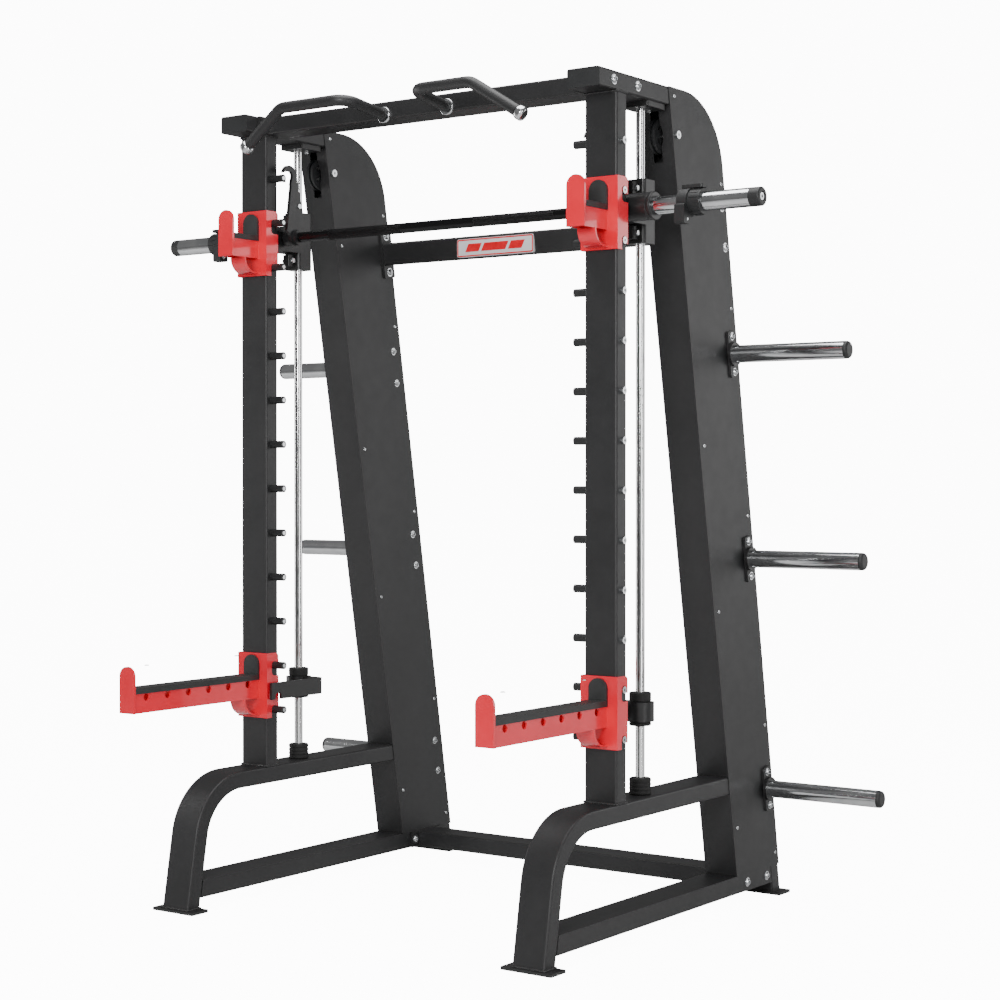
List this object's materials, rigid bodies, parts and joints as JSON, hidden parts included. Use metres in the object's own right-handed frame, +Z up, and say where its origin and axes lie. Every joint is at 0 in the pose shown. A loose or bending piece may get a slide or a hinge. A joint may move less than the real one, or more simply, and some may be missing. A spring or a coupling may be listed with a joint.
{
  "type": "smith machine",
  "caption": "Smith machine: a guided counterbalanced barbell with rack hooks on a steel rack, with bar cups, spotter arms, pull-up handles and plate storage pegs.",
  "frame": {"origin": "on the floor, under the middle of the overall box", "axes": "+Z up, +Y from the user side towards the leaning towers, +X along the bar"},
  "size_m": [2.068, 1.459, 2.3],
  "materials": {
    "black_coat": "matte black powder coat",
    "red_coat": "glossy red powder coat",
    "chrome_steel": "polished",
    "zinc_bolt": "zinc plated",
    "rubber_black": "matte",
    "plastic_black": "matte",
    "liner_black": "fine texture",
    "plate_silver": "satin",
    "iron_weight": "cast and painted",
    "bush_steel": "ground"
  },
  "bodies": {
    "frame": {"badge_beam": "black_coat", "base_rails": "black_coat", "beam_bolts": "zinc_bolt", "cover_screws": "zinc_bolt", "foot_plates": "black_coat", "front_posts": "black_coat", "guide_rods": "chrome_steel", "handle_plugs": "chrome_steel", "handle_rings": "zinc_bolt", "leg_rails": "black_coat", "lower_crossbeam": "black_coat", "name_plate": "plate_silver", "peg_bolts": "zinc_bolt", "peg_caps": "plastic_black", "peg_collars": "black_coat", "peg_flanges": "black_coat", "pin_bolts": "zinc_bolt", "pull_up_handles": "black_coat", "pulley_axles": "zinc_bolt", "rack_pins": "plastic_black", "rail_plugs": "plastic_black", "rear_frames": "black_coat", "rod_brackets": "black_coat", "rod_nuts": "zinc_bolt", "rubber_bumpers": "rubber_black", "storage_pegs": "chrome_steel", "top_crossbeam": "black_coat", "tower_covers": "black_coat", "uprights": "black_coat", "weight_guides": "bush_steel"},
    "carriages": {"carriages": "black_coat", "linear_bushings": "bush_steel", "carriage_bolts": "zinc_bolt"},
    "bar": {"bar_shaft": "black_coat", "stop_rings": "black_coat", "rack_hooks": "black_coat", "hook_screws": "zinc_bolt", "bar_end_caps": "plastic_black", "bar_end_bolts": "zinc_bolt"},
    "sleeve_left": {"sleeve_left": "chrome_steel"},
    "clamp_left": {"clamp_left": "plastic_black"},
    "cup_left": {"bar_cup_left": "red_coat", "cup_liner_left": "liner_black"},
    "spotter_left": {"spotter_arm_left": "red_coat", "arm_liner_left": "liner_black"},
    "stop_left": {"stop_collar_left": "black_coat"},
    "stop_plate_left": {"stop_hook_left": "black_coat"},
    "pulley_left": {"pulley_left": "plastic_black"},
    "weight_left": {"counterweight_left": "iron_weight"},
    "sleeve_right": {"sleeve_right": "chrome_steel"},
    "clamp_right": {"clamp_right": "plastic_black"},
    "cup_right": {"bar_cup_right": "red_coat", "cup_liner_right": "liner_black"},
    "spotter_right": {"spotter_arm_right": "red_coat", "arm_liner_right": "liner_black"},
    "stop_right": {"stop_collar_right": "black_coat"},
    "stop_plate_right": {"stop_hook_right": "black_coat"},
    "pulley_right": {"pulley_right": "plastic_black"},
    "weight_right": {"counterweight_right": "iron_weight"}
  },
  "joints": [
    {"name": "bar_lift", "type": "slide", "parent": "frame", "child": "carriages", "axis": [0, 0, 1], "range_m": [-1.048, 0.04]},
    {"name": "bar_twist", "type": "hinge", "parent": "carriages", "child": "bar", "pos_m": [0, -0.1035, 1.955], "axis": [1, 0, 0], "range_deg": [-29.8, 14.9]},
    {"name": "sleeve_left_spin", "type": "hinge", "parent": "bar", "child": "sleeve_left", "pos_m": [-0.86, -0.1035, 1.955], "axis": [1, 0, 0], "continuous": true},
    {"name": "clamp_left_slide", "type": "slide", "parent": "sleeve_left", "child": "clamp_left", "axis": [-1, 0, 0], "range_m": [-0.078, 0.134]},
    {"name": "cup_left_lift", "type": "slide", "parent": "frame", "child": "cup_left", "axis": [0, 0, 1], "range_m": [0, 0.02]},
    {"name": "spotter_left_lift", "type": "slide", "parent": "frame", "child": "spotter_left", "axis": [0, 0, 1], "range_m": [0, 0.02]},
    {"name": "stop_left_slide", "type": "slide", "parent": "frame", "child": "stop_left", "axis": [0, 0, 1], "range_m": [-0.036, 0.036]},
    {"name": "stop_left_swivel", "type": "hinge", "parent": "stop_left", "child": "stop_plate_left", "pos_m": [-0.611, -0.0075, 0.605], "axis": [0, 0, 1], "range_deg": [0, 60]},
    {"name": "weight_left_slide", "type": "slide", "parent": "frame", "child": "weight_left", "axis": [0, -0.1711, 0.9853], "range_m": [-0.041, 1.049]},
    {"name": "pulley_left_spin", "type": "hinge", "parent": "frame", "child": "pulley_left", "pos_m": [-0.611, 0.0965, 2.173], "axis": [1, 0, 0], "continuous": true},
    {"name": "sleeve_right_spin", "type": "hinge", "parent": "bar", "child": "sleeve_right", "pos_m": [0.86, -0.1035, 1.955], "axis": [1, 0, 0], "continuous": true},
    {"name": "clamp_right_slide", "type": "slide", "parent": "sleeve_right", "child": "clamp_right", "axis": [1, 0, 0], "range_m": [-0.078, 0.134]},
    {"name": "cup_right_lift", "type": "slide", "parent": "frame", "child": "cup_right", "axis": [0, 0, 1], "range_m": [0, 0.02]},
    {"name": "spotter_right_lift", "type": "slide", "parent": "frame", "child": "spotter_right", "axis": [0, 0, 1], "range_m": [0, 0.02]},
    {"name": "stop_right_slide", "type": "slide", "parent": "frame", "child": "stop_right", "axis": [0, 0, 1], "range_m": [-0.036, 0.036]},
    {"name": "stop_right_swivel", "type": "hinge", "parent": "stop_right", "child": "stop_plate_right", "pos_m": [0.611, -0.0075, 0.605], "axis": [0, 0, 1], "range_deg": [-60, 0]},
    {"name": "weight_right_slide", "type": "slide", "parent": "frame", "child": "weight_right", "axis": [0, -0.1711, 0.9853], "range_m": [-0.041, 1.049]},
    {"name": "pulley_right_spin", "type": "hinge", "parent": "frame", "child": "pulley_right", "pos_m": [0.611, 0.0965, 2.173], "axis": [1, 0, 0], "continuous": true}
  ],
  "couplings": [
    {"joint": "weight_left_slide", "follows": "bar_lift", "ratio": -1},
    {"joint": "pulley_left_spin", "follows": "bar_lift", "rad_per_m": -22.222},
    {"joint": "weight_right_slide", "follows": "bar_lift", "ratio": -1},
    {"joint": "pulley_right_spin", "follows": "bar_lift", "rad_per_m": -22.222}
  ]
}
